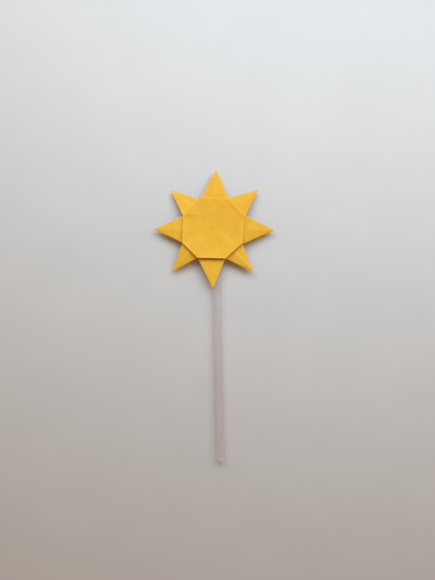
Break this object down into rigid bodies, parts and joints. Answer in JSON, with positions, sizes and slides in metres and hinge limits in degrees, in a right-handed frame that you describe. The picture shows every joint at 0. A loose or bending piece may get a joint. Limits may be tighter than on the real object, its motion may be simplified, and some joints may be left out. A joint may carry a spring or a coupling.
{
  "type": "folded paper sun on a stick",
  "caption": "Folded paper sun with pointed rays that bend at their base creases, taped to a clear plastic stick for holding up or standing in a cake, pot or foam block.",
  "frame": {"origin": "centre of the underside of the whole part's box, on the surface it lies on", "axes": "+Z out of the front of the paper face, +Y along the stick towards the sun, +X to the right seen from the front"},
  "size_m": [0.0748, 0.1858, 0.0069],
  "materials": {
    "paper_front": "matt golden yellow origami paper",
    "paper_back": "the same paper on the folded layers behind",
    "clear_stick": "clear plastic rod",
    "clear_tape": "clear adhesive tape"
  },
  "bodies": {
    "hub": {"face_panel": "paper_front", "stick": "clear_stick", "tape": "clear_tape", "back_flap_e": "paper_back", "pleat_e": "paper_front", "kite_ne": "paper_back", "tucked_corner_ne": "paper_back", "back_flap_n": "paper_back", "kite_nw": "paper_back", "back_flap_w": "paper_back", "kite_sw": "paper_back", "tucked_corner_sw": "paper_back", "back_flap_s": "paper_back", "kite_se": "paper_back", "tucked_corner_se": "paper_back"},
    "ray_e": {"ray_e_front": "paper_front", "ray_e_left_fold": "paper_back", "ray_e_right_fold": "paper_back"},
    "ray_ne": {"ray_ne_front": "paper_front", "ray_ne_left_fold": "paper_back", "ray_ne_right_fold": "paper_back"},
    "ray_n": {"ray_n_front": "paper_front", "ray_n_left_fold": "paper_back", "ray_n_right_fold": "paper_back"},
    "ray_nw": {"ray_nw_front": "paper_front", "ray_nw_left_fold": "paper_back", "ray_nw_right_fold": "paper_back"},
    "ray_w": {"ray_w_front": "paper_front", "ray_w_left_fold": "paper_back", "ray_w_right_fold": "paper_back"},
    "ray_sw": {"ray_sw_front": "paper_front", "ray_sw_left_fold": "paper_back", "ray_sw_right_fold": "paper_back"},
    "ray_s": {"ray_s_front": "paper_front", "ray_s_left_fold": "paper_back", "ray_s_right_fold": "paper_back"},
    "ray_se": {"ray_se_front": "paper_front", "ray_se_left_fold": "paper_back", "ray_se_right_fold": "paper_back"}
  },
  "joints": [
    {"name": "ray_e_bend", "type": "hinge", "parent": "hub", "child": "ray_e", "pos_m": [0.02037, 0.05439, 0.0063], "axis": [-0.0894, -0.996, 0], "range_deg": [-20, 30], "stiffness_Nm_per_rad": 0.0003},
    {"name": "ray_ne_bend", "type": "hinge", "parent": "hub", "child": "ray_ne", "pos_m": [0.01396, 0.06939, 0.00643], "axis": [0.7022, -0.7119, 0], "range_deg": [-20, 30], "stiffness_Nm_per_rad": 0.0003},
    {"name": "ray_n_bend", "type": "hinge", "parent": "hub", "child": "ray_n", "pos_m": [-0.0002, 0.07506, 0.0063], "axis": [0.997, -0.0776, 0], "range_deg": [-20, 30], "stiffness_Nm_per_rad": 0.0003},
    {"name": "ray_nw_bend", "type": "hinge", "parent": "hub", "child": "ray_nw", "pos_m": [-0.01381, 0.07001, 0.00668], "axis": [0.7188, 0.6952, 0], "range_deg": [-20, 30], "stiffness_Nm_per_rad": 0.0003},
    {"name": "ray_w_bend", "type": "hinge", "parent": "hub", "child": "ray_w", "pos_m": [-0.02007, 0.05577, 0.0063], "axis": [0.0487, 0.9988, 0], "range_deg": [-20, 30], "stiffness_Nm_per_rad": 0.0003},
    {"name": "ray_sw_bend", "type": "hinge", "parent": "hub", "child": "ray_sw", "pos_m": [-0.01581, 0.0423, 0.00643], "axis": [-0.6922, 0.7217, 0], "range_deg": [-20, 30], "stiffness_Nm_per_rad": 0.0003},
    {"name": "ray_s_bend", "type": "hinge", "parent": "hub", "child": "ray_s", "pos_m": [-0.00235, 0.03703, 0.0063], "axis": [-0.999, 0.0448, 0], "range_deg": [0, 30], "stiffness_Nm_per_rad": 0.0003},
    {"name": "ray_se_bend", "type": "hinge", "parent": "hub", "child": "ray_se", "pos_m": [0.01193, 0.04144, 0.00643], "axis": [-0.7532, -0.6578, 0], "range_deg": [-20, 30], "stiffness_Nm_per_rad": 0.0003}
  ]
}
